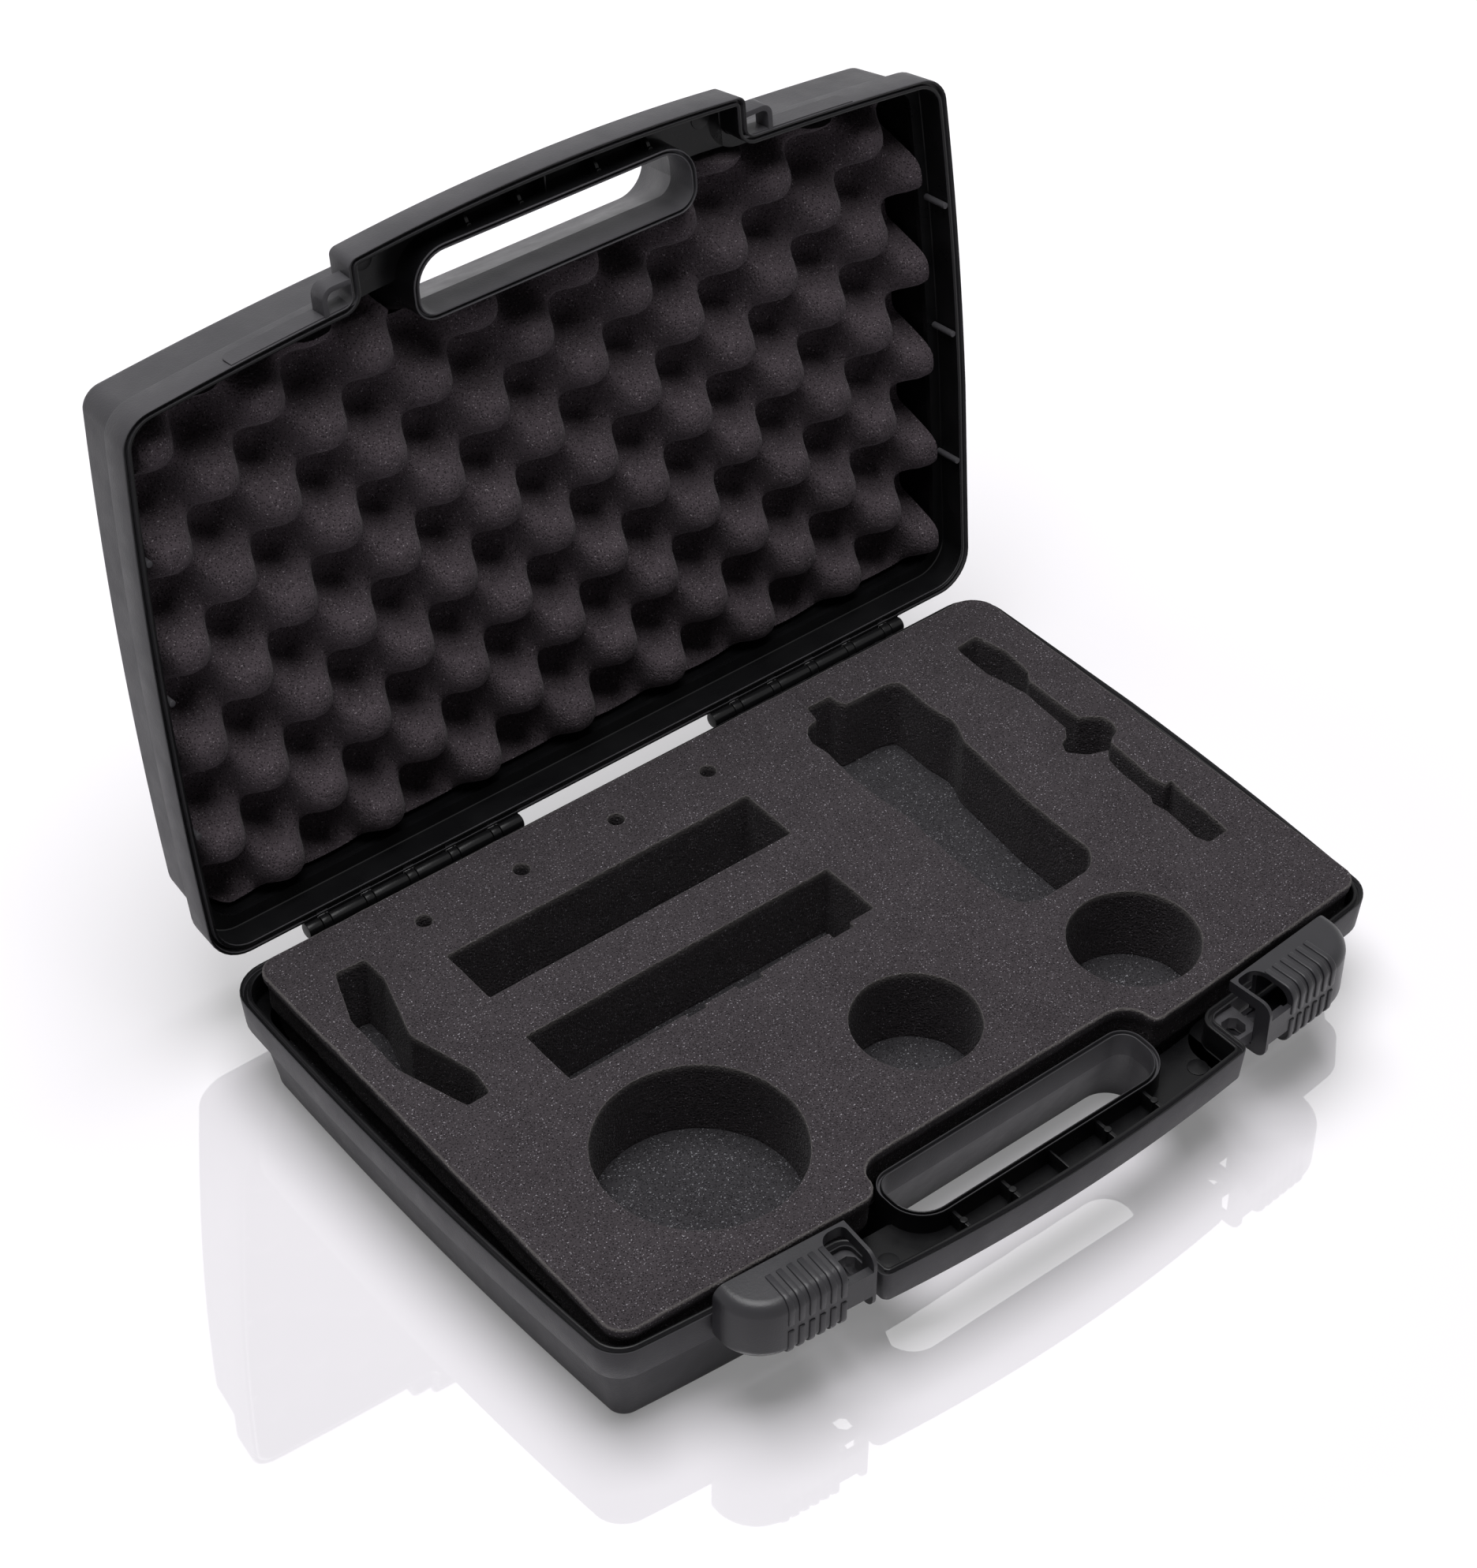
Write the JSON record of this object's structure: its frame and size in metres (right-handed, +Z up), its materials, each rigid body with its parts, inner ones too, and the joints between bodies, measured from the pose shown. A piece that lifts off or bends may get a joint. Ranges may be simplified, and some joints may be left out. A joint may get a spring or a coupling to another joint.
{
  "type": "tool box",
  "caption": "Foam-lined carrying case with a hinged lid, a finger-slot handle at the front and sliding latches beside it; the base foam has cut pockets.",
  "frame": {"origin": "centre of the base's flat bottom, on the surface the case lies on", "axes": "+X to the right latch seen from the handle side, +Y to the hinge, -Y to the handle, +Z up; the lid stands open"},
  "size_m": [0.3402, 0.3062, 0.2838],
  "materials": {
    "base_shell": "fine moulded texture, satin black",
    "lid_shell": "fine moulded texture, satin black",
    "foam_base_pad": "dark grey open-cell foam",
    "foam_insert": "dark grey open-cell foam, die cut",
    "lid_foam": "dark grey open-cell foam, convoluted",
    "left_latch": "satin black",
    "right_latch": "satin black",
    "left_hinge_pin": "plain",
    "right_hinge_pin": "plain"
  },
  "bodies": {
    "base": {"base_shell": "base_shell", "foam_base_pad": "foam_base_pad", "foam_insert": "foam_insert", "left_hinge_pin": "left_hinge_pin", "right_hinge_pin": "right_hinge_pin"},
    "lid": {"lid_shell": "lid_shell", "lid_foam": "lid_foam"},
    "left_latch": {"left_latch": "left_latch"},
    "right_latch": {"right_latch": "right_latch"}
  },
  "joints": [
    {"name": "lid_hinge", "type": "hinge", "parent": "base", "child": "lid", "pos_m": [0, 0.1129, 0.0421], "axis": [1, 0, 0], "range_deg": [0, 96.8]},
    {"name": "left_latch_slide", "type": "slide", "parent": "base", "child": "left_latch", "axis": [-0.9973, 0.074, 0], "range_m": [-0.0018, 0.0105]},
    {"name": "right_latch_slide", "type": "slide", "parent": "base", "child": "right_latch", "axis": [0.9973, 0.074, 0], "range_m": [-0.0063, 0.006]}
  ]
}
